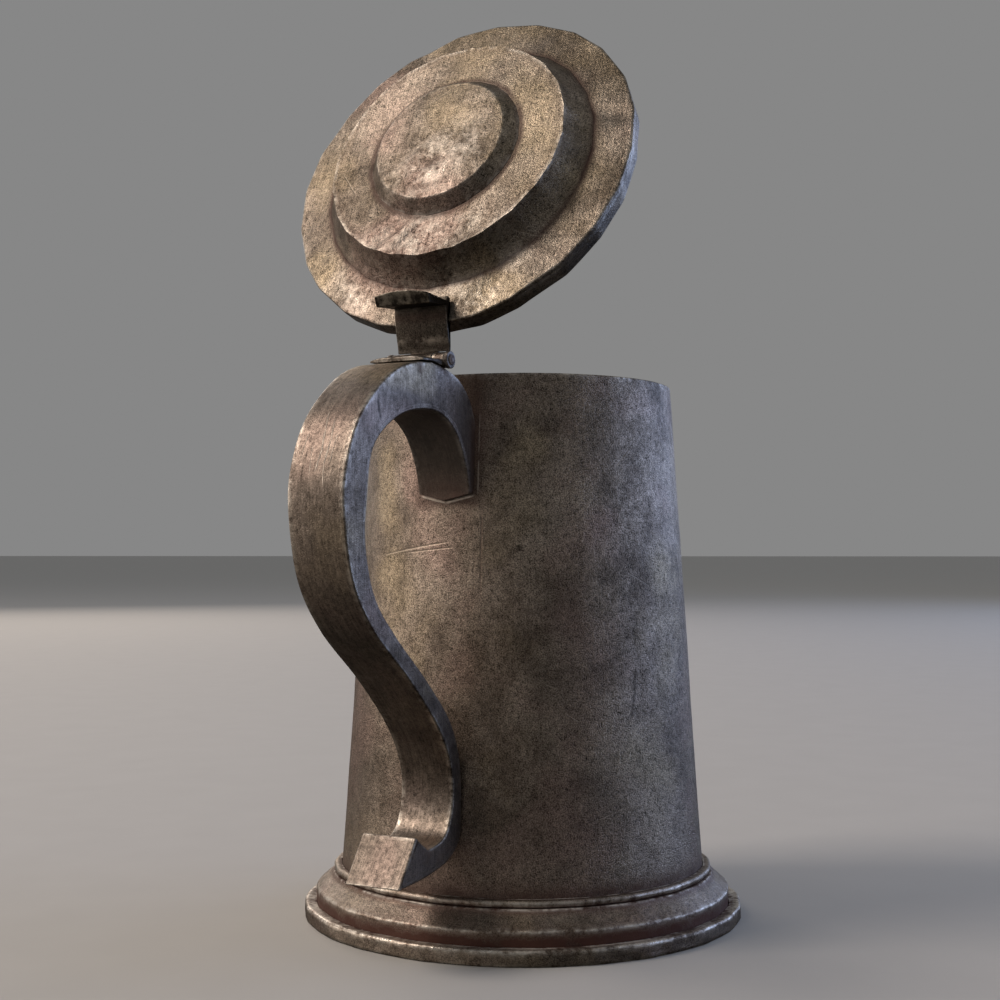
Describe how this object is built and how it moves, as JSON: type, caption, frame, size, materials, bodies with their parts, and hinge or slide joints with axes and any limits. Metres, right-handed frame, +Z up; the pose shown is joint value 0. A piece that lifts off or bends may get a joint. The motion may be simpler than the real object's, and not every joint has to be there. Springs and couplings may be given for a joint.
{
  "type": "lidded tankard",
  "caption": "Old pewter tankard: tapering drum on a moulded foot, S-shaped flat-sided handle with a heel-shaped end, and a stepped hinged lid with a thumbpiece, stored open.",
  "frame": {"origin": "on the table, under the middle of the bounding box, in the plane of the handle; the drum's axis stands 22.9 mm from it towards -X", "axes": "+Z up along the drum's axis, +X from the drum towards the handle, +Y along the hinge's axis"},
  "size_m": [0.1782, 0.1324, 0.267],
  "materials": {
    "drum_pewter": "aged pewter, brown-grey patina, finely brushed up and down",
    "foot_pewter": "aged pewter, worn bright on its edges, dark in its grooves",
    "handle_pewter": "aged pewter, rubbed smooth by the hand",
    "lid_pewter": "aged pewter, mottled, worn bright on its edges",
    "hinge_pewter": "aged pewter, dark with grime",
    "pin_iron": "dark iron pin and washers"
  },
  "bodies": {
    "vessel": {"drum_wall": "drum_pewter", "drum_floor": "drum_pewter", "foot_rim_band": "foot_pewter", "foot_moulding": "foot_pewter", "collar_bead": "foot_pewter", "handle_shell": "handle_pewter", "handle_inner_strip": "handle_pewter", "handle_heel_cap": "handle_pewter", "hinge_leaf": "hinge_pewter", "hinge_knuckle_left": "hinge_pewter", "hinge_knuckle_right": "hinge_pewter", "hinge_pin": "pin_iron", "pin_washer_left": "pin_iron", "pin_washer_right": "pin_iron"},
    "lid": {"lid_cap": "lid_pewter", "lid_boss": "lid_pewter", "lid_rim_band": "lid_pewter", "lid_bezel": "lid_pewter", "lid_strap": "hinge_pewter", "lid_knuckle": "hinge_pewter", "thumbpiece": "hinge_pewter"}
  },
  "joints": [
    {"name": "lid_hinge", "type": "hinge", "parent": "vessel", "child": "lid", "pos_m": [0.0392, 0, 0.1601], "axis": [0, 1, 0], "range_deg": [-65.7, 50]}
  ]
}
